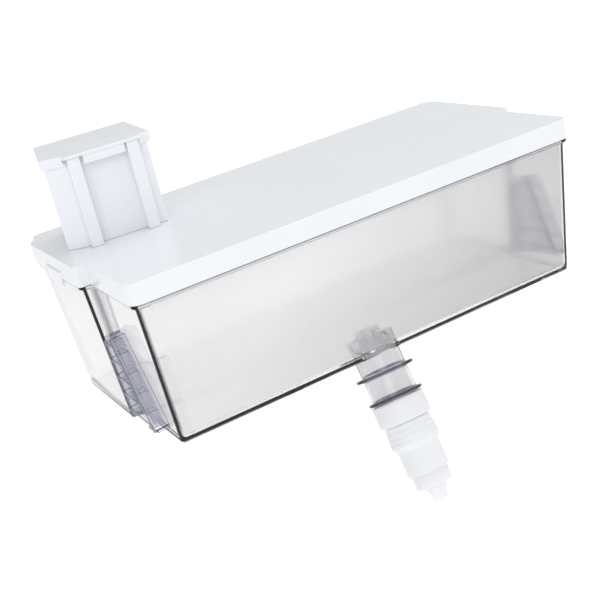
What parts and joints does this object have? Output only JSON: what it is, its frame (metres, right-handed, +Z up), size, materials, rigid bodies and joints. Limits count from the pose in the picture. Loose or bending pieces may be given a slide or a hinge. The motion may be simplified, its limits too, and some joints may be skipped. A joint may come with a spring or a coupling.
{
  "type": "refrigerator water tank",
  "caption": "Clear stepped water tank with a white lift-off lid, a corner filler tower with cap, slotted end racks, and a tilted bottom outlet with a push-up valve.",
  "frame": {"origin": "centre of the tub's flat underside", "axes": "+X along the tank's length towards the end away from the filler tower, +Y to the rear, +Z up; the outlet tilts towards -Y"},
  "size_m": [0.3338, 0.2027, 0.2618],
  "materials": {
    "clear_plastic": "clear, glossy, front wall frosted",
    "tinted_clear_plastic": "clear with a grey violet tint",
    "white_plastic": "glossy white",
    "milky_plastic": "translucent white, satin",
    "silicone": "matt translucent",
    "steel_mesh": "fine mesh",
    "spring_steel": "bright drawn wire"
  },
  "bodies": {
    "tank": {"tank_tub": "clear_plastic", "outlet_neck": "clear_plastic", "left_rack": "tinted_clear_plastic", "right_rack": "tinted_clear_plastic", "outlet_strainer": "milky_plastic", "strainer_screen": "steel_mesh", "nozzle_collar": "milky_plastic", "collar_washer": "silicone", "valve_carrier": "milky_plastic", "carrier_seal": "silicone", "nozzle_body": "milky_plastic", "body_seal": "silicone", "valve_spring": "spring_steel"},
    "lid": {"lid": "white_plastic", "lid_gasket": "silicone", "filler_tower": "white_plastic", "tower_seal": "silicone"},
    "cap": {"filler_cap": "white_plastic", "cap_seal": "silicone", "vent_valve": "silicone"},
    "valve": {"valve_plunger": "milky_plastic", "plunger_seal": "silicone"}
  },
  "joints": [
    {"name": "lid_lift", "type": "slide", "parent": "tank", "child": "lid", "axis": [0, 0, 1], "range_m": [0, 0.06]},
    {"name": "cap_lift", "type": "slide", "parent": "lid", "child": "cap", "axis": [0, 0, 1], "range_m": [0, 0.025]},
    {"name": "valve_press", "type": "slide", "parent": "tank", "child": "valve", "axis": [0, 0.4384, 0.8988], "range_m": [0, 0.006], "stiffness_N_per_m": 400, "springref_m": -0.006, "deforming": ["valve_spring"]}
  ]
}
